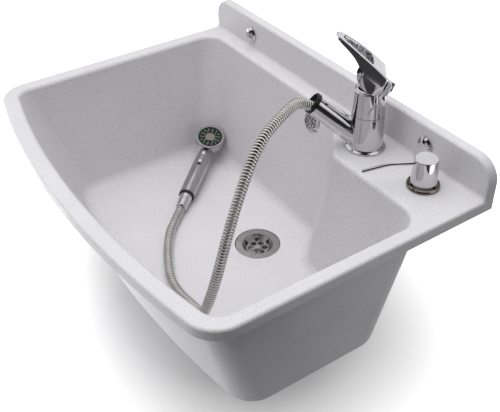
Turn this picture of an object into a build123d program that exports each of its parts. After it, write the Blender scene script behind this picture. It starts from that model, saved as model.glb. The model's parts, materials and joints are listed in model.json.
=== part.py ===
from build123d import *
import os
from math import atan2, cos, pi, radians, sin, tan

# Wall-hung laundry sink with a pull-style shower tap and a soap dispenser.
# Millimetres. X runs right, Y runs towards the wall, Z up. The back plane is y = 0,
# the sink's centre line x = 0, and the top of the rim z = 0.

# basin: rim slab
rim_width = 600
rim_side_depth = 395
rim_bow = 35.4
rim_thickness = 15
rim_corner_radius = 42
bowl_overlap = 2

# basin: splashback
splash_thickness = 13
splash_height = 52
splash_corner_radius = 30
splash_edge_radius = 4
splash_cove_radius = 5
wall_screw_spacing = 390
wall_screw_height = 25
wall_screw_hole_radius = 4.5

# basin: bowl outline at the rim and at the floor
bowl_top = dict(left=-277, right=280.5, back=-34.5, ledge=-98, slope_start=42, slope_end=118,
                front_side=-378, front_mid=-409)
bowl_low = dict(left=-251, right=245, back=-68, ledge=-119, slope_start=50, slope_end=95,
                front_side=-314, front_mid=-338)
bowl_depth = 200
corner_radii_top = dict(back_left=30, slope_start=20, slope_end=25, ledge_right=28,
                        front_right=25, front_left=20)
corner_radii_low = dict(back_left=32, slope_start=22, slope_end=24, ledge_right=30,
                        front_right=32, front_left=32)
wall_thickness = 10
floor_thickness = 12
floor_radius = 20
outer_floor_radius = 14
lip_radius = 6

# basin: holes
tap_x, tap_y = 126, -50
tap_hole_radius = 17.5
dispenser_x, dispenser_y = 233, -50
dispenser_hole_radius = 14
drain_x, drain_y = 12, -145
drain_hole_radius = 23.2
drain_cone_radius = 54
drain_cone_low_radius = 36
drain_cone_drop = 3
flange_recess_radius = 34.6
seat_depth = 3.5
overflow_z = -30
overflow_hole_radius = 12
overflow_seat_radius = 16.5

# wall screw caps
washer_radius = 11
washer_thickness = 1.5
washer_play = 0.3
cap_radius, cap_height = 12, 7
cap_profile = [(0, 0), (12, 0), (12, 1.8), (9.6, 5), (5, 6.7), (0, 7)]
cap_wall = 1.2
cap_hollow_radius, cap_hollow_depth = 7.7, 4.9

# strainer and waste
strainer_radius = 34
strainer_thickness = 2
strainer_gasket_thickness = 1
strainer_edge = [(34, -0.8), (32.8, 0)]
dish_profile_top = [(23.5, 0), (17, -8), (0, -8)]
dish_profile_under = [(0, -9.8), (16.2, -9.8), (22.3, -2)]
inner_hole_radius, inner_hole_circle = 4.6, 10.9
outer_hole_radius, outer_hole_circle = 3.2, 19.4
strainer_hole_count = 6
strainer_screw_radius = 3
strainer_screw_head_radius = 4.8
strainer_screw_head_height = 2.4
strainer_slot_width, strainer_slot_depth = 1.2, 1.2
strainer_screw_length = 30
seal_thickness = 3
waste_flange_radius = 35
waste_profile = [(35, 0), (35, -4), (31, -6), (31, -34), (23.9, -44), (23.9, -66)]
waste_inner_radius, waste_inner_depth = 28, 31
waste_bore_radius = 20
waste_bar_width, waste_bar_height = 12, 8
waste_bar_drop = 12
spigot_height = -17
spigot_length = 46
spigot_radius, spigot_bore = 7.5, 5.5

# overflow
rosette_profile = [(0, 3.4), (6, 3.2), (12, 2.3), (16.2, 1.0), (17.5, 0), (0, 0)]
rosette_inner_count, rosette_inner_circle = 6, 5.6
rosette_outer_count, rosette_outer_circle = 12, 9.8
rosette_hole_radius = 1.7
overflow_screw_radius, overflow_screw_head, overflow_screw_length = 2, 3.4, 20
overflow_head_height, overflow_slot_width, overflow_slot_depth = 1.2, 0.9, 0.6
elbow_flange_radius, elbow_flange_thickness = 16, 3
elbow_radius, elbow_bore, elbow_depth = 14, 12, 11
elbow_back, elbow_edge_radius = 2, 3
elbow_bar_width, elbow_bar_height, elbow_bar_drop = 6, 4, 4
wall_gap = 0.6
overflow_seal_thickness = 2
outlet_y = -14
outlet_root, outlet_top, outlet_end = -30, -38, -68
pipe_start = -52
pipe_radius = 10
pipe_bend = 45
pipe_overlap = 14

# tap: all heights above the ledge, local X towards the lever's tip
tap_heading = 231
base_gasket_radius, base_gasket_height = 25.5, 0.8
base_ring_profile = [(17, 0.8), (26, 0.8), (26, 2.2), (23.6, 4.2), (17, 4.2)]
body_bottom, body_top = 4.2, 51
body_bottom_radius, body_top_radius = 22.5, 21.4
collar_radius, collar_top, collar_bore = 19, 57, 17.6
upper_bottom, upper_top = 51.5, 85.4
upper_bottom_radius, upper_top_radius = 21.2, 19.4
upper_edge_radius = 1.2
arm_base_height = 6.7
arm_rise = 38
arm_length = 86
arm_base_radius, arm_end_radius = 15.6, 14.2
arm_joint_radius = 2
guide_seat_start, guide_seat_radius = 60, 12.3
hose_passage_radius = 9
ferrule_start, ferrule_end = 19, 41
ferrule_bore = 4
chamber_start, chamber_radius = 12, 5
waterway_radius = 3
outlet_way_offset, outlet_way_low = 9, 14
inlet_way_back, inlet_way_side = -5, 8.5
guide_lip_radius, guide_lip_length, guide_edge_radius = 14.4, 6, 1.5
guide_mouth_radius, guide_flare_length = 11.7, 10
shank_radius, shank_top, shank_bottom = 16.5, 9, -60
socket_radius, socket_depth = 4.5, 12
under_washer_radius = 24
under_gasket_thickness, under_washer_thickness, under_nut_thickness = 3, 2, 10
under_nut_radius = 23.7

# tap: cartridge
cartridge_radius, cartridge_top = 17.5, 80
carrier_cavity_radius, carrier_cavity_floor = 13.35, 69.7
nut_recess_top, nut_top, nut_opening_radius = 83, 88, 8
carrier_radius, carrier_bottom, carrier_top = 13, 70, 82.6
carrier_slot_length, carrier_slot_width, carrier_slot_floor = 12.4, 8.6, 71.5
pivot_height = 80
pin_radius, pin_hole_radius, pin_length = 1.5, 1.55, 25
stem_radius, stem_lean = 4, 12.5
stem_below, stem_above = 7.5, 26
stem_hole_start = 15

# tap: loop lever, drawn lowered and then lifted by lever_lift
lever_lift = 16
lever_reach, lever_rear = 65.7, -25.3
lever_top = [(-32, 100.8), (20.3, 127.9), (72, 147.7)]
lever_under = [(72, 143.4), (60, 138.6), (52.2, 134.8), (43.7, 130.2), (36.6, 125.4), (26, 115.6),
               (8, 104.5), (-32, 93)]
lever_half_width = 25
lever_circles = [(-4.8, 0, 20.5), (27.5, 0, 17.6), (53.7, 0, 12)]
slot_circles = [(29.3, 0, 12), (48.8, 0, 7.2), (16.6, 9.3, 4), (16.6, -9.3, 4)]
lever_edge_radius = 1.8
skirt_low, skirt_middle, skirt_high = 87, 97, 124
skirt_low_circles = [(-2, 0, 19.8), (-1.2, 0, 19.5)]
skirt_middle_circles = [(-5, 0, 20), (8.8, 0, 15.2)]
shoulder = [(-40, 98), (0, 111), (13.5, 114), (20.5, 111), (25, 102), (25, 86), (-40, 86)]
lever_hollow_radius = 20.4
lever_screw_height, lever_screw_radius = 101, 2
lever_screw_from, lever_screw_to = -16, 0.3
index_cap_x, index_cap_z, index_cap_radius, index_cap_length = 12.6, 118.6, 2.4, 1.2
index_cap_sunk, index_cap_edge_radius = 0.8, 0.4

# hose route, centre line; the first two points lie on the arm's axis
hose_radius = 7
hose_groove_radius = 6.2
hose_bore_radius = 4.5
hose_rib_count = 178
rib_land, rib_slope = 0.5, 0.12
hose_start = 41
hose_first_turn = 105.1
hose_middle = [
    (102.2, -172.3, 74.5),
    (120.3, -219.6, 58.3),
    (146.1, -273.3, -14.5),
    (155.7, -303.9, -89.9),
    (138.7, -313.6, -151.2),
    (98.3, -298.1, -187.1),
    (29.1, -303.0, -192.6),
    (-32.1, -275.7, -192.6),
    (-75.1, -247.9, -192.5),
]
hose_last_run = 22
arc_share = 0.45

# hand spray: the handle's own axis, and the face's centre and normal
handle_end = (-134.3, -182.6, -186.3)
handle_direction = (-0.658, 0.744, 0.115)
face_normal = (0.318, -0.147, 0.937)
face_foot, face_offset = 131, 20
nut_length = 31.8
washer_gap = 3.5
hose_nut_profile = [(8, -31.8), (9, -30.2), (9.5, -15.6), (9, -15), (9, -14.4), (10, -13.8), (10.5, -3.5)]
hose_washer_radius = 12.4
handle_profile = [(12.9, 0), (13.2, 20), (13.3, 50), (13.1, 75), (12.2, 95), (10, 112), (0, 124)]
head_profile = [(24.7, 0), (25.1, -4.2), (24.5, -11.2), (21.9, -18.8), (16.4, -25.5), (8.8, -29), (0, -29.7)]
face_pocket_radius, face_pocket_depth = 20.8, 5
bezel_radius, bezel_bore, bezel_height, bezel_edge_radius = 24.4, 20.2, 1.2, 0.48
faceplate_radius, faceplate_thickness = 20.7, 3
centre_disc_radius = 9.6
centre_disc_profile = [(0, -1.5), (9.6, -1.5), (9.6, 0.4), (8.4, 0.9), (7.6, 0.4), (0, 0.4)]
nozzle_rows = [(10, 12), (14, 15.6)]
nozzle_radius, nozzle_proud = 0.9, 0.7
selector_along = 82.5
selector_length, selector_width = 36, 6.5
selector_base, selector_end_height, selector_bump_height, selector_saddle_height = 9.4, 2.8, 6, 3.8
selector_saddle_length, selector_bump_middle = 6, 10.5
selector_edge_radius = 0.9
selector_travel = 3
selector_gap = 0.4
selector_tongue_length, selector_tongue_width, selector_tongue_depth = 8, 3, 3

# soap dispenser, heights above the ledge
collar_neck_radius = 13.8
collar_profile = [(9.5, 1.5), (17.5, 1.5), (17.5, 4.4), (18.3, 5), (20, 4.2), (20.7, 2.4), (20.7, 0),
                  (13.8, 0), (13.8, -27), (13.4, -27), (13.4, -45), (9.5, -45)]
dispenser_gasket_radius, dispenser_gasket_thickness = 19, 2
dispenser_nut_radius, dispenser_nut_thickness = 20, 9
cylinder_profile = [(3.55, 3.5), (12.6, 3.5), (12.6, 1.5), (9.3, 1.5), (9.3, -44), (4.2, -48), (3.2, -60),
                    (1.6, -60), (1.6, -46), (2.5, -41), (7, -40), (7, 0), (3.55, 0)]
stem_profile = [(0, 20), (3.5, 20), (3.5, -12), (6.9, -12), (6.9, -16), (0, -16)]
spring_outer, spring_inner, spring_bottom = 6.2, 4.8, -39
pump_cap_profile = [(16.5, 8), (14.5, 40.6), (0, 40.6), (0, 20.2), (3.55, 20.2), (3.55, 14),
                    (13, 14), (13, 8)]
pump_cap_edge = 1.2
nozzle_heading = 240
nozzle_tube_radius, nozzle_tube_bore = 2.2, 1.2
nozzle_route = [(9, 34), (45, 34), (77, 25.6)]
nozzle_bend = 70

beyond = 200
hex_sides = 6
flat_limit = 0.1

arm_axis = Vector(cos(radians(arm_rise)), 0, sin(radians(arm_rise)))
tap_place = Pos(tap_x, tap_y, 0) * Rot(0, 0, tap_heading)
lever_place = tap_place * Pos(0, 0, pivot_height) * Rot(0, -lever_lift, 0) * Pos(0, 0, -pivot_height)
dispenser_place = Pos(dispenser_x, dispenser_y, 0)
drain_place = Pos(drain_x, drain_y, -bowl_depth - drain_cone_drop)
strainer_place = drain_place * Pos(0, 0, strainer_gasket_thickness + strainer_thickness - seat_depth)
waste_place = Pos(drain_x, drain_y, -bowl_depth - floor_thickness - seal_thickness)
handle_axis = Vector(*handle_direction).normalized()
face_axis = Vector(*face_normal).normalized()
handle_side = face_axis - handle_axis * face_axis.dot(handle_axis)
handle_place = Plane(origin=handle_end, x_dir=handle_side.normalized(), z_dir=handle_axis).location
face_place = Plane(origin=Vector(*handle_end) + handle_axis * face_foot + face_axis * face_offset,
                   x_dir=handle_axis, z_dir=face_axis).location


def turned(profile):
    return revolve(Plane.XZ * make_face(Polyline(*profile, close=True)), Axis.Z)


def turned_smooth(points, start_level):
    line = Spline(*points)
    axis_side = [Line(points[-1], (0, start_level)), Line((0, start_level), points[0])]
    return revolve(Plane.XZ * make_face([line] + axis_side), Axis.Z)


def rod(radius, low, high):
    return Pos(0, 0, low) * Cylinder(radius, high - low, align=(Align.CENTER, Align.CENTER, Align.MIN))


def ring(outer, inner, low, high):
    return rod(outer, low, high) - rod(inner, low, high)


def arm_rod(radius, start, end):
    plane = Plane(origin=Vector(0, 0, arm_base_height) + arm_axis * start, z_dir=arm_axis)
    return plane * rod(radius, 0, end - start)


def blended(low, high, share):
    return {key: low[key] + (high[key] - low[key]) * share for key in low}


def bowl_face(size, radii, level, grow):
    drop = size["back"] - size["ledge"]
    lean = tan(atan2(drop, size["slope_end"] - size["slope_start"]) / 2) * grow
    left, right = size["left"] - grow, size["right"] + grow
    back, ledge = size["back"] + grow, size["ledge"] + grow
    front_side, front_mid = size["front_side"] - grow, size["front_mid"] - grow
    corners = {
        "back_left": (left, back),
        "slope_start": (size["slope_start"] + lean, back),
        "slope_end": (size["slope_end"] + lean, ledge),
        "ledge_right": (right, ledge),
        "front_right": (right, front_side),
        "front_left": (left, front_side),
    }
    sides = Polyline(corners["front_left"], *list(corners.values())[:-1])
    bow = ThreePointArc(corners["front_right"], ((left + right) / 2, front_mid), corners["front_left"])
    face = make_face(Curve() + sides + bow)
    for name, point in corners.items():
        radius = radii[name] - grow if name == "slope_end" else radii[name] + grow
        corner = face.vertices().sort_by_distance((*point, 0))[0]
        face = fillet(corner, radius)
    return Pos(0, 0, level) * face


def bowl_solid(grow, bottom, over, edge_radius):
    share = -over / bowl_depth
    top_size = blended(bowl_top, bowl_low, share)
    top_radii = blended(corner_radii_top, corner_radii_low, share)
    top = bowl_face(top_size, top_radii, over, grow)
    low = bowl_face(bowl_low, corner_radii_low, bottom, grow)
    solid = loft([top, low], ruled=True)
    floor_edges = solid.edges().group_by(Axis.Z)[0]
    return fillet(floor_edges, edge_radius)


def rim_slab():
    half = rim_width / 2
    sides = Polyline((-half, -rim_side_depth), (-half, 0), (half, 0), (half, -rim_side_depth))
    bow = ThreePointArc((half, -rim_side_depth), (0, -rim_side_depth - rim_bow), (-half, -rim_side_depth))
    face = make_face(Curve() + sides + bow)
    front = face.vertices().group_by(Axis.Y)[0]
    face = fillet(front, rim_corner_radius)
    return Pos(0, 0, -rim_thickness) * extrude(face, rim_thickness)


def splash_slab():
    half = rim_width / 2
    height = splash_height + rim_thickness
    face = Pos(0, height / 2 - rim_thickness) * Rectangle(rim_width, height)
    top = face.vertices().group_by(Axis.Y)[-1]
    face = fillet(top, splash_corner_radius)
    return Plane.XZ * extrude(face, splash_thickness)


def overflow_place():
    lean = (bowl_low["back"] - bowl_top["back"]) / bowl_depth
    wall_y = bowl_top["back"] - lean * overflow_z
    return Plane(origin=(0, wall_y, overflow_z), x_dir=(1, 0, 0), z_dir=(0, -1, -lean)).location


def basin():
    solid = rim_slab() + splash_slab()
    front = -splash_thickness
    top_edges = solid.edges().filter_by_position(Axis.Z, -flat_limit, flat_limit)
    rim_edges = top_edges.filter_by(lambda edge: edge.center().Y < front - 1)
    splash_edges = solid.edges().filter_by(
        lambda edge: abs(edge.center().Y - front) < flat_limit and edge.center().Z > 1)
    solid = fillet(rim_edges + splash_edges, splash_edge_radius)
    inner = solid.edges().filter_by(
        lambda edge: abs(edge.center().X) < 1 and abs(edge.center().Z) < flat_limit)
    solid = fillet(inner.sort_by(Axis.Y)[-1], splash_cove_radius)
    outer_floor = -bowl_depth - floor_thickness
    solid = solid + bowl_solid(wall_thickness, outer_floor, -bowl_overlap, outer_floor_radius)
    solid = solid - bowl_solid(0, -bowl_depth, 2 * lip_radius, floor_radius)
    lip = solid.edges().filter_by_position(Axis.Z, -flat_limit, flat_limit).filter_by(
        lambda edge: bowl_top["front_mid"] - 1 < edge.center().Y < bowl_top["back"] + 1
        and abs(edge.center().X) < bowl_top["right"] + 1)
    solid = fillet(lip, lip_radius)
    drain = drain_place * Cone(drain_cone_low_radius, drain_cone_radius, drain_cone_drop,
                               align=(Align.CENTER, Align.CENTER, Align.MIN))
    seat = drain_place * (rod(flange_recess_radius, -seat_depth, 0)
                          + rod(drain_hole_radius, -floor_thickness, 0))
    solid = solid - drain - seat
    for x, y, radius in [(tap_x, tap_y, tap_hole_radius), (dispenser_x, dispenser_y, dispenser_hole_radius)]:
        solid = solid - Pos(x, y, 0) * rod(radius, -2 * rim_thickness, rim_thickness)
    solid = solid - overflow_place() * rod(overflow_hole_radius, -2 * wall_thickness, wall_thickness)
    solid = solid - overflow_place() * rod(overflow_seat_radius, -2 * wall_thickness, -wall_thickness)
    for side in (-1, 1):
        place = Plane(origin=(side * wall_screw_spacing / 2, 0, wall_screw_height), z_dir=(0, -1, 0))
        solid = solid - place * rod(wall_screw_hole_radius, -1, splash_thickness + 1)
    return solid


def screw_caps():
    caps = []
    washers = []
    hollow = rod(cap_radius - cap_wall, 0, washer_thickness) + rod(cap_hollow_radius, 0, cap_hollow_depth)
    for side in (-1, 1):
        middle = (side * wall_screw_spacing / 2, -splash_thickness, wall_screw_height)
        place = Plane(origin=middle, z_dir=(0, -1, 0))
        caps.append(place * (turned(cap_profile) - hollow))
        washers.append(place * ring(washer_radius - washer_play, wall_screw_hole_radius, 0, washer_thickness))
    return caps, washers


def ring_of_holes(radius, circle, count, low, high, turn=0):
    holes = []
    for index in range(count):
        holes.append(Rot(0, 0, turn + index * 360 / count) * Pos(circle, 0, 0) * rod(radius, low, high))
    return holes


def strainer_flange():
    top = strainer_edge + dish_profile_top
    under = dish_profile_under + [(strainer_radius, -strainer_thickness)]
    solid = turned(top + under)
    low = dish_profile_under[0][1] - 1
    for hole in ring_of_holes(inner_hole_radius, inner_hole_circle, strainer_hole_count, low, 1):
        solid = solid - hole
    half_step = 180 / strainer_hole_count
    for hole in ring_of_holes(outer_hole_radius, outer_hole_circle, strainer_hole_count, low, 1, half_step):
        solid = solid - hole
    return strainer_place * (solid - rod(strainer_screw_radius, low, 1))


def slotted_screw(radius, length, head_radius, head_height, slot_width, slot_depth):
    head = rod(head_radius, 0, head_height)
    head = fillet(head.edges().group_by(Axis.Z)[-1], head_height / 2.5)
    slot = Pos(0, 0, head_height - slot_depth) * Box(
        3 * head_radius, slot_width, head_height, align=(Align.CENTER, Align.CENTER, Align.MIN))
    return head - slot + rod(radius, -length, 0)


def strainer_screw():
    screw = slotted_screw(strainer_screw_radius, strainer_screw_length, strainer_screw_head_radius,
                          strainer_screw_head_height, strainer_slot_width, strainer_slot_depth)
    return strainer_place * Pos(0, 0, dish_profile_top[-1][1]) * screw


def strainer_gasket():
    top = -strainer_thickness
    return strainer_place * ring(strainer_radius, drain_hole_radius, top - strainer_gasket_thickness, top)


def spigot_place():
    angle = atan2(outlet_y - drain_y, -drain_x)
    return waste_place * Plane(origin=(0, 0, spigot_height), z_dir=(cos(angle), sin(angle), 0)).location


def waste_body():
    solid = turned([(0, 0)] + waste_profile + [(0, waste_profile[-1][1])])
    solid = solid + waste_place.inverse() * spigot_place() * rod(spigot_radius, 0, spigot_length)
    solid = solid - rod(waste_inner_radius, -waste_inner_depth, 0)
    solid = solid - rod(waste_bore_radius, waste_profile[-1][1], -waste_inner_depth)
    spigot_way = rod(spigot_bore, waste_bore_radius, spigot_length)
    solid = solid - waste_place.inverse() * spigot_place() * spigot_way
    bar = Pos(0, 0, -waste_bar_drop) * Box(2 * waste_inner_radius + 1, waste_bar_width, waste_bar_height)
    return waste_place * (solid + bar - rod(strainer_screw_radius, -waste_inner_depth, 0))


def waste_seal():
    return waste_place * ring(waste_flange_radius, drain_hole_radius, 0, seal_thickness)


def overflow_rosette():
    solid = turned(rosette_profile)
    rows = ring_of_holes(rosette_hole_radius, rosette_inner_circle, rosette_inner_count, -1, cap_height)
    rows += ring_of_holes(rosette_hole_radius, rosette_outer_circle, rosette_outer_count, -1, cap_height)
    for hole in rows:
        solid = solid - hole
    return overflow_place() * (solid - rod(overflow_screw_radius, -1, cap_height))


def overflow_screw():
    screw = slotted_screw(overflow_screw_radius, overflow_screw_length, overflow_screw_head,
                          overflow_head_height, overflow_slot_width, overflow_slot_depth)
    return overflow_place() * Pos(0, 0, rosette_profile[0][1]) * screw


def overflow_seal():
    back = -wall_thickness
    front_ring = ring(elbow_flange_radius, overflow_hole_radius, back - overflow_seal_thickness, back)
    return overflow_place() * front_ring


def overflow_elbow():
    face = -wall_thickness - overflow_seal_thickness
    flange = rod(elbow_flange_radius, face - elbow_flange_thickness, face)
    chamber = rod(elbow_radius, face - elbow_depth, face)
    chamber = fillet(chamber.edges().group_by(Axis.Z)[0], elbow_edge_radius)
    outlet = Pos(0, outlet_y, 0) * rod(spigot_radius, outlet_end, outlet_root)
    solid = overflow_place() * (flange + chamber) + outlet
    behind = Pos(0, wall_gap, 0) * Box(beyond, beyond, beyond, align=(Align.CENTER, Align.MIN, Align.CENTER))
    hollow = rod(elbow_bore, face - elbow_depth + elbow_back, face)
    bar = Pos(0, 0, face - elbow_bar_drop) * Box(2 * elbow_bore + 1, elbow_bar_width, elbow_bar_height)
    bar = bar - rod(overflow_screw_radius, face - elbow_depth, face)
    solid = solid - overflow_place() * (hollow - bar) - behind
    return solid - Pos(0, outlet_y, 0) * rod(spigot_bore, outlet_end, outlet_top)


def overflow_pipe():
    low = waste_place.position.Z + spigot_height
    mouth = (spigot_place() * Pos(0, 0, spigot_length - pipe_overlap)).position
    points = [(0, outlet_y, pipe_start), (0, outlet_y, low), (mouth.X, mouth.Y, low)]
    line = FilletPolyline(*points, radius=pipe_bend)
    start = Plane(origin=line @ 0, z_dir=line % 0)
    tube = sweep(start * Circle(pipe_radius), line) - sweep(start * Circle(spigot_radius), line)
    return tube


def tap_base():
    gasket = ring(base_gasket_radius, tap_hole_radius, 0, base_gasket_height)
    return tap_place * gasket, tap_place * turned(base_ring_profile)


def tap_body():
    column = turned([(0, -body_bottom), (body_bottom_radius, -body_bottom), (body_top_radius, body_top),
                     (collar_radius, body_top), (collar_radius, collar_top), (0, collar_top)])
    arm_plane = Plane(origin=Vector(0, 0, arm_base_height) + arm_axis * (arm_length / 2), z_dir=arm_axis)
    arm = arm_plane * Cone(arm_base_radius, arm_end_radius, arm_length)
    solid = column + arm
    joint = solid.edges().filter_by(
        lambda edge: edge.geom_type not in (GeomType.LINE, GeomType.CIRCLE)
        and edge.center().X > body_top_radius / 2)
    solid = fillet(joint, arm_joint_radius)
    below = Box(beyond, beyond, beyond, align=(Align.CENTER, Align.CENTER, Align.MAX))
    solid = solid - Pos(0, 0, body_bottom) * below
    solid = solid - rod(collar_bore, body_top, collar_top) - rod(shank_radius, body_bottom, shank_top)
    solid = solid - arm_rod(hose_passage_radius, ferrule_start, arm_length)
    solid = solid - arm_rod(guide_seat_radius, guide_seat_start, arm_length)
    solid = solid - arm_rod(chamber_radius, chamber_start, ferrule_start)
    solid = solid - Pos(outlet_way_offset, 0, 0) * rod(waterway_radius, outlet_way_low, body_top)
    for side in (-1, 1):
        inlet = Pos(inlet_way_back, side * inlet_way_side, 0)
        solid = solid - inlet * rod(waterway_radius, body_bottom, body_top)
    return tap_place * solid


def tap_upper_body():
    solid = turned([(0, upper_bottom), (upper_bottom_radius, upper_bottom),
                    (upper_top_radius, upper_top), (0, upper_top)])
    rim = solid.edges().group_by(Axis.Z)[-1]
    solid = fillet(rim, upper_edge_radius)
    solid = solid - rod(cartridge_radius, upper_bottom, upper_top)
    solid = solid - rod(collar_radius, upper_bottom, collar_top)
    return tap_place * solid


def cartridge():
    solid = rod(cartridge_radius, body_top, cartridge_top)
    return tap_place * (solid - rod(carrier_cavity_radius, carrier_cavity_floor, cartridge_top))


def cartridge_nut():
    solid = rod(cartridge_radius, cartridge_top, nut_top)
    solid = chamfer(solid.edges().group_by(Axis.Z)[-1], 1)
    solid = solid - rod(carrier_cavity_radius, cartridge_top, nut_recess_top)
    return tap_place * (solid - rod(nut_opening_radius, nut_recess_top, nut_top))


def stem_carrier():
    slot = Pos(0, 0, carrier_slot_floor) * Box(carrier_slot_length, carrier_slot_width, carrier_top,
                                               align=(Align.CENTER, Align.CENTER, Align.MIN))
    cross = Pos(0, 0, pivot_height) * Rot(90, 0, 0) * Cylinder(pin_radius, 2 * carrier_radius)
    return tap_place * (rod(carrier_radius, carrier_bottom, carrier_top) - slot - cross)


def stem_pin():
    return tap_place * Pos(0, 0, pivot_height) * Rot(90, 0, 0) * Cylinder(pin_radius, pin_length)


def stem_rod(radius, low, high):
    return Pos(0, 0, pivot_height) * Rot(0, stem_lean, 0) * rod(radius, low, high)


def cartridge_stem():
    cross = Pos(0, 0, pivot_height) * Rot(90, 0, 0) * Cylinder(pin_hole_radius, 4 * stem_radius)
    return lever_place * (stem_rod(stem_radius, -stem_below, stem_above) - cross)


def hull_of(circles):
    middle = sum(x for x, y, radius in circles) / len(circles)
    edges = []
    for x, y, radius in circles:
        seam = 0 if x < middle else 180
        edges += (Pos(x, y) * Rot(0, 0, seam) * Circle(radius)).edges()
    return make_face(make_hull(edges))


def lever_profile(lines):
    side = Plane.XZ * make_face(lines)
    return Pos(0, lever_half_width, 0) * extrude(side, 2 * lever_half_width)


def index_cap_place():
    return Pos(index_cap_x, 0, index_cap_z) * Rot(0, 90, 0)


def lever_plate():
    top = ThreePointArc(*lever_top)
    under = Spline(*lever_under)
    side = lever_profile([top, Line(top @ 1, under @ 0), under, Line(under @ 1, top @ 0)])
    outline = extrude(Pos(0, 0, skirt_low) * hull_of(lever_circles), 2 * lever_reach)
    window = extrude(Pos(0, 0, skirt_low) * hull_of(slot_circles), 2 * lever_reach)
    solid = (outline & side) - window
    crown = solid.faces().filter_by(lambda face: face.normal_at().Z > 0.5)[0]
    return fillet(crown.edges(), lever_edge_radius)


def lever_skirt():
    low = Pos(0, 0, skirt_low) * hull_of(skirt_low_circles)
    middle = Pos(0, 0, skirt_middle) * hull_of(skirt_middle_circles)
    high = Pos(0, 0, skirt_high) * hull_of(skirt_middle_circles)
    line = Polyline(*shoulder, close=True)
    return loft([low, middle, high]) & lever_profile(line)


def lever():
    solid = lever_plate() + lever_skirt()
    solid = solid - Pos(0, 0, pivot_height) * Sphere(lever_hollow_radius)
    solid = solid - stem_rod(stem_radius, stem_hole_start, stem_above)
    screw_way = Pos(0, 0, lever_screw_height) * Rot(0, 90, 0) * rod(
        lever_screw_radius, 2 * lever_rear, lever_screw_to)
    cap_way = index_cap_place() * rod(index_cap_radius, -index_cap_sunk, 2 * index_cap_length)
    return lever_place * (solid - screw_way - cap_way)


def lever_screw():
    return lever_place * Pos(0, 0, lever_screw_height) * Rot(0, 90, 0) * rod(
        lever_screw_radius, lever_screw_from, lever_screw_to)


def lever_index_cap():
    cap = rod(index_cap_radius, -index_cap_sunk, index_cap_length)
    cap = fillet(cap.edges().group_by(Axis.Z)[-1], index_cap_edge_radius)
    return lever_place * index_cap_place() * cap


def tap_shank():
    solid = rod(shank_radius, shank_bottom, shank_top)
    for side in (-1, 1):
        place = Pos(inlet_way_back, side * inlet_way_side, 0)
        solid = solid - place * rod(waterway_radius, shank_bottom, shank_top)
        solid = solid - place * rod(socket_radius, shank_bottom, shank_bottom + socket_depth)
    return tap_place * solid


def shank_fixings():
    gasket_low = -rim_thickness - under_gasket_thickness
    washer_low = gasket_low - under_washer_thickness
    nut_low = washer_low - under_nut_thickness
    gasket = ring(under_washer_radius, shank_radius, gasket_low, -rim_thickness)
    washer = ring(under_washer_radius, shank_radius, washer_low, gasket_low)
    nut = Pos(0, 0, nut_low) * extrude(RegularPolygon(under_nut_radius, hex_sides), under_nut_thickness)
    nut = nut - rod(shank_radius, nut_low, washer_low)
    return tap_place * gasket, tap_place * washer, tap_place * nut


def hose_guide():
    lip_end = arm_length + guide_lip_length
    solid = arm_rod(guide_seat_radius, guide_seat_start, arm_length)
    solid = solid + arm_rod(guide_lip_radius, arm_length, lip_end)
    outer = solid.edges().filter_by(GeomType.CIRCLE).sort_by(lambda edge: edge.center().dot(arm_axis))
    rim = outer.filter_by(lambda edge: edge.radius > guide_seat_radius + 1)[-1]
    solid = fillet(rim, guide_edge_radius)
    flare_middle = Vector(0, 0, arm_base_height) + arm_axis * (lip_end - guide_flare_length / 2)
    flare = Cone(hose_passage_radius, guide_mouth_radius, guide_flare_length)
    solid = solid - arm_rod(hose_passage_radius, guide_seat_start, lip_end)
    return tap_place * (solid - Plane(origin=flare_middle, z_dir=arm_axis) * flare)


def hose_ferrule():
    return tap_place * (arm_rod(hose_passage_radius, ferrule_start, ferrule_end)
                        - arm_rod(ferrule_bore, ferrule_start, ferrule_end))


def hose_line():
    arm = tap_place * Plane(origin=Vector(0, 0, arm_base_height), z_dir=arm_axis).location
    first = (arm * Pos(0, 0, hose_start)).position
    second = (arm * Pos(0, 0, hose_first_turn)).position
    last = Vector(*handle_end) - handle_axis * nut_length
    before = last - handle_axis * hose_last_run
    points = [first, second] + [Vector(*point) for point in hose_middle] + [before, last]
    runs = [(after - point).length for point, after in zip(points, points[1:])]
    radii = []
    for index in range(1, len(points) - 1):
        coming = points[index] - points[index - 1]
        going = points[index + 1] - points[index]
        turn = radians(coming.get_angle(going))
        radii.append(arc_share * min(runs[index - 1], runs[index]) / tan(turn / 2))
    print("hose runs", [round(run, 1) for run in runs])
    print("hose arc radii", [round(radius, 1) for radius in radii])
    line = FilletPolyline(*points, radius=radii)
    print("hose length", round(line.length, 1))
    return line


def hose():
    line = hose_line()
    pitch = 1 / hose_rib_count
    side = Vector(0, 0, 1)
    circles = []
    for index in range(hose_rib_count):
        for offset, radius in [(rib_slope, hose_radius), (rib_land, hose_radius),
                               (rib_land + rib_slope, hose_groove_radius), (1, hose_groove_radius)]:
            share = min((index + offset) * pitch, 1)
            along = line % share
            side = (side - along * side.dot(along)).normalized()
            circles.append(Plane(origin=line @ share, x_dir=side, z_dir=along) * Circle(radius))
    start = Plane(origin=line @ 0, z_dir=line % 0)
    ends = start * Circle(hose_groove_radius)
    solid = loft([ends] + circles, ruled=True)
    bore = sweep(start * Circle(hose_bore_radius), line)
    mean_radius = (hose_radius + hose_groove_radius) / 2
    print("hose volume", round(solid.volume), "section x length", round(pi * mean_radius ** 2 * line.length))
    return solid - bore


def hose_fittings():
    profile = [(0, -nut_length)] + hose_nut_profile + [(0, -washer_gap)]
    nut = handle_place * (turned(profile) - rod(hose_bore_radius, -nut_length, -washer_gap))
    washer = handle_place * ring(hose_washer_radius, hose_bore_radius, -washer_gap, 0)
    return nut, washer


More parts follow.
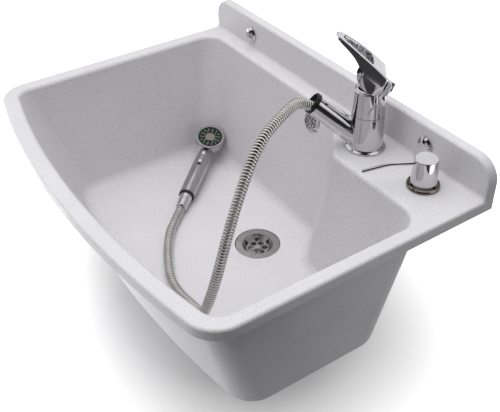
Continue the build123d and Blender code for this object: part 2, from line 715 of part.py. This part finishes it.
def selector_pocket():
    play = selector_travel + selector_gap
    pocket = Box(2 * selector_base, selector_width + 2 * selector_gap, selector_length + 2 * play,
                 align=(Align.MIN, Align.CENTER, Align.CENTER))
    tongue = Box(selector_tongue_depth + selector_gap, selector_tongue_width + 2 * selector_gap,
                 selector_tongue_length + 2 * play, align=(Align.MAX, Align.CENTER, Align.CENTER))
    return Pos(selector_base - selector_gap, 0, selector_along) * (pocket + tongue)


def spray_handle():
    handle = handle_place * turned_smooth(handle_profile, 0)
    head = face_place * turned_smooth(head_profile, 0)
    solid = handle + head
    solid = solid - face_place * rod(face_pocket_radius, -face_pocket_depth, 1)
    solid = solid - handle_place * rod(hose_bore_radius, 0, 2 * nut_length)
    return solid - handle_place * selector_pocket()


def selector_bump(side):
    start = (selector_end_height, side * selector_length / 2)
    crest = (selector_bump_height, side * selector_bump_middle)
    finish = (selector_saddle_height, side * selector_saddle_length / 2)
    return ThreePointArc(start, crest, finish)


def spray_selector():
    low, high = selector_bump(-1), selector_bump(1)
    back = Polyline(high @ 0, (0, selector_length / 2), (0, -selector_length / 2), low @ 0)
    face = make_face([low, Line(low @ 1, high @ 1), high, back])
    pad = Pos(0, selector_width / 2, 0) * extrude(Plane.XZ * face, selector_width)
    sides = pad.faces().filter_by(GeomType.CYLINDER)
    pad = fillet(sides[0].edges().filter_by(GeomType.CIRCLE) + sides[1].edges().filter_by(GeomType.CIRCLE),
                 selector_edge_radius)
    tongue = Box(selector_tongue_depth, selector_tongue_width, selector_tongue_length,
                 align=(Align.MAX, Align.CENTER, Align.CENTER))
    return handle_place * Pos(selector_base, 0, selector_along) * (pad + tongue)


def spray_bezel():
    solid = ring(bezel_radius, bezel_bore, 0, bezel_height)
    outer = solid.edges().group_by(Axis.Z)[-1]
    return face_place * fillet(outer, bezel_edge_radius)


def nozzle_spots():
    spots = []
    for count, circle in nozzle_rows:
        for index in range(count):
            spots.append(Rot(0, 0, index * 360 / count) * Pos(circle, 0, 0))
    return spots


def spray_faceplate():
    solid = rod(faceplate_radius, -faceplate_thickness, 0)
    solid = solid - rod(centre_disc_radius, centre_disc_profile[0][1], 1)
    for spot in nozzle_spots():
        solid = solid - spot * rod(nozzle_radius, -faceplate_thickness, 1)
    return face_place * solid


def spray_nozzles():
    solid = rod(faceplate_radius, -face_pocket_depth, -faceplate_thickness)
    for spot in nozzle_spots():
        solid = solid + spot * rod(nozzle_radius, -faceplate_thickness, nozzle_proud)
    return face_place * solid


def spray_centre_disc():
    return face_place * turned(centre_disc_profile)


def dispenser_pieces():
    gasket_low = -rim_thickness - dispenser_gasket_thickness
    nut_low = gasket_low - dispenser_nut_thickness
    gasket = ring(dispenser_gasket_radius, dispenser_hole_radius, gasket_low, -rim_thickness)
    hexagon = RegularPolygon(dispenser_nut_radius, hex_sides)
    nut = Pos(0, 0, nut_low) * extrude(hexagon, dispenser_nut_thickness)
    nut = nut - rod(collar_neck_radius, nut_low, gasket_low)
    spring = ring(spring_outer, spring_inner, spring_bottom, stem_profile[-1][1])
    pieces = {
        "dispenser_collar": turned(collar_profile),
        "dispenser_gasket": gasket,
        "dispenser_nut": nut,
        "pump_cylinder": turned(cylinder_profile),
        "pump_stem": turned(stem_profile),
        "pump_spring": spring,
    }
    return {name: dispenser_place * solid for name, solid in pieces.items()}


def pump_head():
    solid = turned(pump_cap_profile)
    rim = solid.edges().group_by(Axis.Z)[-1]
    solid = fillet(rim, pump_cap_edge)
    way = Rot(0, 0, nozzle_heading) * Pos(0, 0, nozzle_route[0][1]) * Rot(0, 90, 0) * rod(
        nozzle_tube_radius, nozzle_route[0][0], 2 * nozzle_route[0][0])
    return dispenser_place * (solid - way)


def pump_nozzle():
    line = FilletPolyline(*[(along, 0, height) for along, height in nozzle_route], radius=nozzle_bend)
    start = Plane(origin=line @ 0, z_dir=line % 0)
    tube = sweep(start * Circle(nozzle_tube_radius), line) - sweep(start * Circle(nozzle_tube_bore), line)
    return dispenser_place * Rot(0, 0, nozzle_heading) * tube


def all_pieces():
    caps, washers = screw_caps()
    gasket, base = tap_base()
    under_gasket, under_washer, under_nut = shank_fixings()
    nut, washer = hose_fittings()
    pieces = {
        "basin": basin(),
        "wall_screw_caps": Compound(caps),
        "wall_screw_washers": Compound(washers),
        "strainer_flange": strainer_flange(),
        "strainer_screw": strainer_screw(),
        "strainer_gasket": strainer_gasket(),
        "waste_body": waste_body(),
        "waste_seal": waste_seal(),
        "overflow_rosette": overflow_rosette(),
        "overflow_screw": overflow_screw(),
        "overflow_elbow": overflow_elbow(),
        "overflow_seal": overflow_seal(),
        "overflow_pipe": overflow_pipe(),
        "tap_base_gasket": gasket,
        "tap_base_ring": base,
        "tap_body": tap_body(),
        "tap_upper_body": tap_upper_body(),
        "cartridge": cartridge(),
        "cartridge_nut": cartridge_nut(),
        "stem_carrier": stem_carrier(),
        "stem_pin": stem_pin(),
        "cartridge_stem": cartridge_stem(),
        "lever": lever(),
        "lever_screw": lever_screw(),
        "lever_index_cap": lever_index_cap(),
        "tap_shank": tap_shank(),
        "shank_gasket": under_gasket,
        "shank_washer": under_washer,
        "shank_nut": under_nut,
        "hose_guide": hose_guide(),
        "hose_ferrule": hose_ferrule(),
        "hose": hose(),
        "hose_nut": nut,
        "hose_washer": washer,
        "spray_handle": spray_handle(),
        "spray_bezel": spray_bezel(),
        "spray_faceplate": spray_faceplate(),
        "spray_nozzles": spray_nozzles(),
        "spray_centre_disc": spray_centre_disc(),
        "spray_selector": spray_selector(),
        "pump_head": pump_head(),
        "pump_nozzle": pump_nozzle(),
    }
    pieces.update(dispenser_pieces())
    return pieces


os.makedirs("parts", exist_ok=True)
for name, shape in all_pieces().items():
    export_step(shape, "parts/" + name + ".step")
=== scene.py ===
import json
import math

import bpy
from mathutils import Matrix, Vector


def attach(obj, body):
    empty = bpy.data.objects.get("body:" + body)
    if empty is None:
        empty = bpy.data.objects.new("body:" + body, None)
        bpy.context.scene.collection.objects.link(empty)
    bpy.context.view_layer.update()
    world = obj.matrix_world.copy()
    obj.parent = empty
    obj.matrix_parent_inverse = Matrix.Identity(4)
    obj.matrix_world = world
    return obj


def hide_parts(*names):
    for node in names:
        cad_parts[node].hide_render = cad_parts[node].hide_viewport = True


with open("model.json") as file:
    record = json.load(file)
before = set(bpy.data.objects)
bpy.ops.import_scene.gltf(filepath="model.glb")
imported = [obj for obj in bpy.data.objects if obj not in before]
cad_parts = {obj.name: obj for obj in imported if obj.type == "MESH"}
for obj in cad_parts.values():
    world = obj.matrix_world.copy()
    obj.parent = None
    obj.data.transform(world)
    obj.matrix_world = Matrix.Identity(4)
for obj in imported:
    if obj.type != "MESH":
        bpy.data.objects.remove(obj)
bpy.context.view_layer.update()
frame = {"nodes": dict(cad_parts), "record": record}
nodes = frame["nodes"]


def addObject(name, data):
    piece = bpy.data.objects.new(name, data)
    bpy.context.scene.collection.objects.link(piece)
    return piece


# camera, as the photograph was taken
camera = {
    "place": (0.75706, -0.64611, 0.56949),
    "yaw": 57.634,
    "pitch": 36.41,
    "roll": -1.439,
    "sensor": 36,
    "lens": 56.19,
    "shift": (0.0202, -0.0420),
    "nearClip": 0.01,
}
cameraData = bpy.data.cameras.new("photoCamera")
cameraData.sensor_width = camera["sensor"]
cameraData.lens = camera["lens"]
cameraData.shift_x, cameraData.shift_y = camera["shift"]
cameraData.clip_start = camera["nearClip"]
cameraObject = addObject("photoCamera", cameraData)
cameraObject.matrix_world = (
    Matrix.Translation(camera["place"])
    @ Matrix.Rotation(math.radians(camera["yaw"]), 4, "Z")
    @ Matrix.Rotation(math.radians(90 - camera["pitch"]), 4, "X")
    @ Matrix.Rotation(math.radians(camera["roll"]), 4, "Z")
)
bpy.context.scene.camera = cameraObject
print("camera placed")


def curvePoints(route):
    line = bpy.data.curves.new("route", "CURVE")
    line.dimensions = "3D"
    spline = line.splines.new("NURBS")
    spline.points.add(len(route) - 1)
    for point, place in zip(spline.points, route):
        point.co = (*place, 1)
    spline.order_u = 3
    spline.use_endpoint_u = True
    spline.resolution_u = 24
    holder = bpy.data.objects.new("route", line)
    mesh = bpy.data.meshes.new_from_object(holder)
    found = [vertex.co.copy() for vertex in mesh.vertices]
    bpy.data.objects.remove(holder)
    return found


def evenPoints(points, count):
    lengths = [0.0]
    for before, after in zip(points, points[1:]):
        lengths.append(lengths[-1] + (after - before).length)
    found = []
    step = 0
    for index in range(count + 1):
        wanted = lengths[-1] * index / count
        while step < len(points) - 2 and lengths[step + 1] < wanted:
            step += 1
        span = lengths[step + 1] - lengths[step]
        found.append(points[step].lerp(points[step + 1], (wanted - lengths[step]) / span))
    return found, lengths[-1]


def ringTube(name, points, radii, sides):
    vertices = []
    faces = []
    across = Vector((0, 0, 1))
    last = len(points) - 1
    for index, point in enumerate(points):
        along = (points[min(index + 1, last)] - points[max(index - 1, 0)]).normalized()
        across = (across - along * across.dot(along)).normalized()
        other = along.cross(across)
        for side in range(sides):
            angle = 2 * math.pi * side / sides
            outward = across * math.cos(angle) + other * math.sin(angle)
            vertices.append(tuple(point + outward * radii[index]))
    for index in range(last):
        low, high = index * sides, (index + 1) * sides
        for side in range(sides):
            after = (side + 1) % sides
            faces.append((low + side, low + after, high + after, high + side))
    faces.append(tuple(reversed(range(sides))))
    faces.append(tuple(last * sides + side for side in range(sides)))
    mesh = bpy.data.meshes.new(name)
    mesh.from_pydata(vertices, [], faces)
    mesh.shade_smooth()
    return addObject(name, mesh)


# hose: the wound metal strip shows as narrow grooves between round crests; painted shade darkens the grooves
hose = {
    "route": [
        (0.10567, -0.07510, 0.03194),
        (0.07388, -0.11436, 0.07141),
        (0.1022, -0.1723, 0.0745),
        (0.1203, -0.2196, 0.0583),
        (0.1461, -0.2733, -0.0145),
        (0.1557, -0.3039, -0.0899),
        (0.1387, -0.3136, -0.1512),
        (0.0983, -0.2981, -0.1871),
        (0.0291, -0.3030, -0.1926),
        (-0.0321, -0.2757, -0.1926),
        (-0.0751, -0.2479, -0.1925),
        (-0.0989, -0.2226, -0.1925),
        (-0.11338, -0.20626, -0.18996),
    ],
    "diameter": 0.014,
    "pitch": 0.0039,
    "ribRadii": [0.0060, 0.0066, 0.00695, 0.0070, 0.00695, 0.0066],
    # painted shade: how strongly each ring of a rib is darkened, fully at the bottom of the groove
    "grooveShade": [1.0, 0.3, 0.0, 0.0, 0.0, 0.3],
    "sides": 28,
}
hoseLine = curvePoints(hose["route"])
_, hoseLength = evenPoints(hoseLine, 1)
ribCount = round(hoseLength / hose["pitch"])
ribSteps = len(hose["ribRadii"])
hosePath, hoseLength = evenPoints(hoseLine, ribCount * ribSteps)
hoseRadii = [hose["ribRadii"][index % ribSteps] for index in range(len(hosePath))]
hoseSkin = ringTube("hoseSkin", hosePath, hoseRadii, hose["sides"])
# mark each ring with its share of the painted shade in the grooves
grooveShadeMark = hoseSkin.data.attributes.new("grooveShade", "FLOAT", "POINT")
for index, mark in enumerate(grooveShadeMark.data):
    mark.value = hose["grooveShade"][index // hose["sides"] % ribSteps]
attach(hoseSkin, "sink")
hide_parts("hose")
print("hose length", round(hoseLength, 4), "ribs", ribCount)

# how far the noise textures swing, and how deep their bumps are
texture = {
    "colourSwing": (0.3, 0.7),
    "roughSwing": (0.35, 0.65),
    "bumpDepth": 0.0002,
    "stoneBumpDepth": 0.0004,
}


def nodeSetup(name):
    material = bpy.data.materials.new(name)
    material.use_nodes = True
    tree = material.node_tree
    shader = tree.nodes["Principled BSDF"]
    place = tree.nodes.new("ShaderNodeTexCoord").outputs["Object"]
    return material, tree, shader, place


def noise(tree, place, scale, detail):
    node = tree.nodes.new("ShaderNodeTexNoise")
    node.inputs["Scale"].default_value = scale
    node.inputs["Detail"].default_value = detail
    tree.links.new(place, node.inputs["Vector"])
    return node.outputs["Fac"]


def remap(tree, value, span, start=0, end=1):
    node = tree.nodes.new("ShaderNodeMapRange")
    node.inputs["From Min"].default_value, node.inputs["From Max"].default_value = span
    node.inputs["To Min"].default_value = start
    node.inputs["To Max"].default_value = end
    tree.links.new(value, node.inputs["Value"])
    return node.outputs["Result"]


def colourMix(tree, value, first, second):
    node = tree.nodes.new("ShaderNodeMix")
    node.data_type = "RGBA"
    tree.links.new(value, node.inputs["Factor"])
    for socket, colour in (("A", first), ("B", second)):
        target = [one for one in node.inputs if one.name == socket and one.type == "RGBA"][0]
        if isinstance(colour, tuple):
            target.default_value = (*colour, 1)
        else:
            tree.links.new(colour, target)
    return [one for one in node.outputs if one.type == "RGBA"][0]


def bump(tree, shader, height, strength, depth):
    node = tree.nodes.new("ShaderNodeBump")
    node.inputs["Strength"].default_value = strength
    node.inputs["Distance"].default_value = depth
    tree.links.new(height, node.inputs["Height"])
    tree.links.new(node.outputs["Normal"], shader.inputs["Normal"])


def stoneMaterial(look):
    material, tree, shader, place = nodeSetup(look["name"])
    fine = noise(tree, place, look["speckScale"], 2)
    broad = noise(tree, place, look["cloudScale"], 3)
    clouds = colourMix(tree, remap(tree, broad, texture["colourSwing"]), look["base"], look["cloud"])
    darker = colourMix(tree, remap(tree, fine, look["darkFrom"]), clouds, look["darkSpeck"])
    speckled = colourMix(tree, remap(tree, fine, look["lightFrom"]), darker, look["lightSpeck"])
    tree.links.new(speckled, shader.inputs["Base Color"])
    tree.links.new(remap(tree, broad, texture["colourSwing"], *look["roughness"]), shader.inputs["Roughness"])
    shader.inputs["Specular IOR Level"].default_value = look["specular"]
    bump(tree, shader, fine, look["bump"], texture["stoneBumpDepth"])
    return material


def finishMaterial(look, metallic, detail):
    material, tree, shader, place = nodeSetup(look["name"])
    shader.inputs["Metallic"].default_value = metallic
    shader.inputs["Specular IOR Level"].default_value = look.get("specular", 0.5)
    mottle = noise(tree, place, look["mottleScale"], detail)
    colour = colourMix(tree, remap(tree, mottle, texture["colourSwing"]), look["base"], look["worn"])
    # painted shade: the hose's groove mark darkens the colour in its grooves
    if "grooveShade" in look:
        grooveShade = tree.nodes.new("ShaderNodeAttribute")
        grooveShade.attribute_name = "grooveShade"
        colour = colourMix(tree, grooveShade.outputs["Fac"], colour, look["grooveShade"])
    tree.links.new(colour, shader.inputs["Base Color"])
    tree.links.new(remap(tree, mottle, texture["roughSwing"], *look["roughness"]), shader.inputs["Roughness"])
    bump(tree, shader, noise(tree, place, look["grainScale"], 2), look["bump"], texture["bumpDepth"])
    return material


def metalMaterial(look):
    return finishMaterial(look, 1, 4)


def plasticMaterial(look):
    return finishMaterial(look, 0, 3)


looks = {
    "cast_stone": stoneMaterial({
        "name": "castStone", "base": (0.655, 0.645, 0.67), "cloud": (0.68, 0.67, 0.69), "cloudScale": 14,
        "darkSpeck": (0.49, 0.48, 0.51), "darkFrom": (0.60, 0.72),
        "lightSpeck": (0.79, 0.785, 0.795), "lightFrom": (0.40, 0.30),
        "speckScale": 480, "roughness": (0.34, 0.46), "specular": 0.35, "bump": 0.10}),
    "chrome": metalMaterial({
        "name": "chromePlate", "base": (0.66, 0.65, 0.665), "worn": (0.60, 0.59, 0.605), "mottleScale": 40,
        "grainScale": 900, "roughness": (0.03, 0.08), "bump": 0.01}),
    "dark_chrome": metalMaterial({
        "name": "darkChrome", "base": (0.27, 0.235, 0.21), "worn": (0.21, 0.18, 0.16), "mottleScale": 50,
        "grainScale": 900, "roughness": (0.05, 0.12), "bump": 0.01}),
    "satin_chrome": metalMaterial({
        "name": "satinChrome", "base": (0.54, 0.535, 0.545), "worn": (0.46, 0.455, 0.465), "mottleScale": 60,
        "grainScale": 1400, "roughness": (0.14, 0.24), "bump": 0.03}),
    "dark_steel": metalMaterial({
        "name": "darkSteel", "base": (0.46, 0.45, 0.44), "worn": (0.38, 0.37, 0.365), "mottleScale": 90,
        "grainScale": 1600, "roughness": (0.24, 0.36), "bump": 0.05}),
    "steel": metalMaterial({
        "name": "steelTurned", "base": (0.60, 0.60, 0.61), "worn": (0.50, 0.50, 0.51), "mottleScale": 120,
        "grainScale": 1600, "roughness": (0.2, 0.3), "bump": 0.04}),
    "brass": metalMaterial({
        "name": "brassTurned", "base": (0.72, 0.55, 0.28), "worn": (0.60, 0.45, 0.24), "mottleScale": 110,
        "grainScale": 1500, "roughness": (0.2, 0.32), "bump": 0.05}),
    "black_rubber": plasticMaterial({
        "name": "blackRubber", "base": (0.02, 0.02, 0.021), "worn": (0.035, 0.035, 0.036), "mottleScale": 70,
        "grainScale": 1800, "roughness": (0.55, 0.7), "bump": 0.08}),
    "green_rubber": plasticMaterial({
        "name": "greenRubber", "base": (0.20, 0.42, 0.28), "worn": (0.26, 0.50, 0.33), "mottleScale": 300,
        "grainScale": 1800, "roughness": (0.4, 0.5), "bump": 0.04}),
    "black_plastic": plasticMaterial({
        "name": "blackPlastic", "base": (0.012, 0.013, 0.014), "worn": (0.022, 0.023, 0.024), "mottleScale": 60,
        "grainScale": 1500, "roughness": (0.18, 0.3), "bump": 0.03, "specular": 0.2}),
    "grey_plastic": plasticMaterial({
        "name": "greyPlastic", "base": (0.16, 0.16, 0.17), "worn": (0.22, 0.22, 0.23), "mottleScale": 120,
        "grainScale": 1500, "roughness": (0.3, 0.42), "bump": 0.05}),
    "white_plastic": plasticMaterial({
        "name": "whitePlastic", "base": (0.74, 0.74, 0.73), "worn": (0.68, 0.68, 0.66), "mottleScale": 30,
        "grainScale": 1100, "roughness": (0.35, 0.48), "bump": 0.04}),
    "platedNut": metalMaterial({
        "name": "platedNut", "base": (0.70, 0.70, 0.71), "worn": (0.60, 0.60, 0.61), "mottleScale": 80,
        "grainScale": 1200, "roughness": (0.10, 0.18), "bump": 0.02}),
    "bezelSatin": metalMaterial({
        "name": "bezelSatin", "base": (0.36, 0.355, 0.36), "worn": (0.30, 0.295, 0.30), "mottleScale": 80,
        "grainScale": 1400, "roughness": (0.16, 0.26), "bump": 0.03}),
    "woundStrip": metalMaterial({
        "name": "woundStrip", "base": (0.76, 0.74, 0.71), "worn": (0.62, 0.60, 0.57),
        # painted shade for the grooves between the crests
        "grooveShade": (0.06, 0.055, 0.05), "mottleScale": 60,
        "grainScale": 1400, "roughness": (0.10, 0.18), "bump": 0.02}),
}

# pieces whose finish in the photograph differs from their slot's
ownLook = {"cartridge_nut": "platedNut", "spray_bezel": "bezelSatin", "hose_ferrule": "dark_chrome"}
lookOf = {part["node"]: part["material_slot"] for part in frame["record"]["subparts"]} | ownLook
for name, node in nodes.items():
    for slot in node.material_slots:
        slot.material = looks[lookOf[name]]
hoseSkin.data.materials.append(looks["woundStrip"])
print("materials set")

# stage: pale floor just under the waste outlet, white where the camera or a shiny face looks past the shadow
studio = {
    "floorPlace": (0.02, -0.2, -0.2815),
    "floorSize": 12,
    "floorRoughness": 0.9,
    "floorColour": (0.62, 0.62, 0.62),
    "awayColour": (0.04, 0.04, 0.041),
    "seenColour": (0.98, 0.98, 0.98),
    "shadowReach": (0.16, 0.52),
    "lights": [
        {"name": "topLight", "place": (-0.10, -0.38, 1.5), "aim": (0, -0.2, 0),
         "size": (1.6, 1.4), "power": 16},
        {"name": "frontLight", "place": (-0.5, -1.5, -0.10), "aim": (0, -0.4, -0.15),
         "size": (1.4, 0.3), "power": 5},
        {"name": "footLight", "place": (-0.15, -0.62, -0.26), "aim": (-0.05, -0.35, -0.12),
         "size": (0.5, 0.1), "power": 1.2},
    ],
    "skyLean": 0.3,
    "skyReach": (0.05, 0.70),
    "skyLow": (0.03, 0.03, 0.031),
    "skyHigh": (0.80, 0.80, 0.81),
    "backdrop": (1.0, 1.0, 1.0),
    "panelWhite": (0.95, 0.95, 0.96),
    "gapDark": (0.02, 0.02, 0.022),
    "gapCount": 4,
    "gapTurn": 2.97,
    "gapEdge": (0.05, 0.35),
    "gapTop": (0.52, 0.42),
    "darkTowards": (0.663, -0.618, 0.423),
    "darkTurn": 0.75,
    "darkEdge": (0.62, 0.74),
}


def mathNode(tree, operation, *values):
    node = tree.nodes.new("ShaderNodeMath")
    node.operation = operation
    for socket, value in zip(node.inputs, values):
        if isinstance(value, (int, float)):
            socket.default_value = value
        else:
            tree.links.new(value, socket)
    return node.outputs[0]


def vectorNode(tree, operation, vector, other=(0, 0, 0)):
    node = tree.nodes.new("ShaderNodeVectorMath")
    node.operation = operation
    node.inputs[1].default_value = other
    tree.links.new(vector, node.inputs[0])
    return node.outputs["Value"]


def splitNode(tree, vector):
    node = tree.nodes.new("ShaderNodeSeparateXYZ")
    tree.links.new(vector, node.inputs[0])
    return node.outputs


def seenDirectly(tree, path):
    shiny = mathNode(tree, "MAXIMUM", path["Is Glossy Ray"], path["Is Transmission Ray"])
    return mathNode(tree, "MAXIMUM", path["Is Camera Ray"], shiny)


def turnOf(tree, split):
    return mathNode(tree, "ARCTAN2", split["Y"], split["X"])


def darkGaps(tree, turn):
    phase = mathNode(tree, "MULTIPLY_ADD", turn, studio["gapCount"], studio["gapTurn"])
    return remap(tree, mathNode(tree, "SINE", phase), studio["gapEdge"])


def panel(name, size):
    half = size / 2
    mesh = bpy.data.meshes.new(name)
    mesh.from_pydata([(-half, -half, 0), (half, -half, 0), (half, half, 0), (-half, half, 0)], [], [(0, 1, 2, 3)])
    return addObject(name, mesh)


# floor: shiny faces see dark gaps on it, and the studio's dark side behind the camera
floor = panel("floor", studio["floorSize"])
floor.location = studio["floorPlace"]
floorMaterial, tree, shader, place = nodeSetup("floorPaper")
path = tree.nodes.new("ShaderNodeLightPath").outputs
far = remap(tree, vectorNode(tree, "LENGTH", place), studio["shadowReach"])
turn = turnOf(tree, splitNode(tree, place))
facingDark = mathNode(tree, "COSINE", mathNode(tree, "ADD", turn, studio["darkTurn"]))
gaps = mathNode(tree, "MAXIMUM", darkGaps(tree, turn), remap(tree, facingDark, studio["darkEdge"]))
darkToShiny = mathNode(tree, "MULTIPLY", mathNode(tree, "MULTIPLY", far, gaps), path["Is Glossy Ray"])
bright = mathNode(tree, "SUBTRACT", seenDirectly(tree, path), darkToShiny)
lit = colourMix(tree, far, studio["floorColour"], studio["awayColour"])
tree.links.new(colourMix(tree, bright, lit, studio["seenColour"]), shader.inputs["Base Color"])
tree.links.new(mathNode(tree, "MULTIPLY", far, bright), shader.inputs["Emission Strength"])
shader.inputs["Emission Color"].default_value = (1, 1, 1, 1)
shader.inputs["Roughness"].default_value = studio["floorRoughness"]
floor.data.materials.append(floorMaterial)

world = bpy.data.worlds.new("studio")
bpy.context.scene.world = world
world.use_nodes = True
tree = world.node_tree
path = tree.nodes.new("ShaderNodeLightPath").outputs
direction = tree.nodes.new("ShaderNodeTexCoord").outputs["Generated"]
split = splitNode(tree, direction)

# the sky's light is bright above and to the left, and dark low on the right
slope = mathNode(tree, "MULTIPLY_ADD", split["X"], -studio["skyLean"], split["Z"])
sky = colourMix(tree, remap(tree, slope, studio["skyReach"]), studio["skyLow"], studio["skyHigh"])

# shiny faces see white panels with upright dark gaps between them, and the dark side
gaps = mathNode(tree, "MULTIPLY", darkGaps(tree, turnOf(tree, split)), remap(tree, split["Z"], studio["gapTop"]))
darkSide = remap(tree, vectorNode(tree, "DOT_PRODUCT", direction, studio["darkTowards"]), studio["darkEdge"])
panels = colourMix(tree, mathNode(tree, "MAXIMUM", gaps, darkSide), studio["panelWhite"], studio["gapDark"])
seen = colourMix(tree, path["Is Camera Ray"], panels, studio["backdrop"])
surroundings = colourMix(tree, seenDirectly(tree, path), sky, seen)
tree.links.new(surroundings, tree.nodes["Background"].inputs["Color"])

for light in studio["lights"]:
    lightData = bpy.data.lights.new(light["name"], "AREA")
    lightData.shape = "RECTANGLE"
    lightData.size, lightData.size_y = light["size"]
    lightData.energy = light["power"]
    lightObject = addObject(light["name"], lightData)
    lightObject.location = light["place"]
    towards = Vector(light["aim"]) - Vector(light["place"])
    lightObject.rotation_euler = towards.to_track_quat("-Z", "Y").to_euler()
    lightObject.visible_glossy = lightObject.visible_camera = False

bpy.context.scene.view_settings.view_transform = "Standard"
print("studio lit")
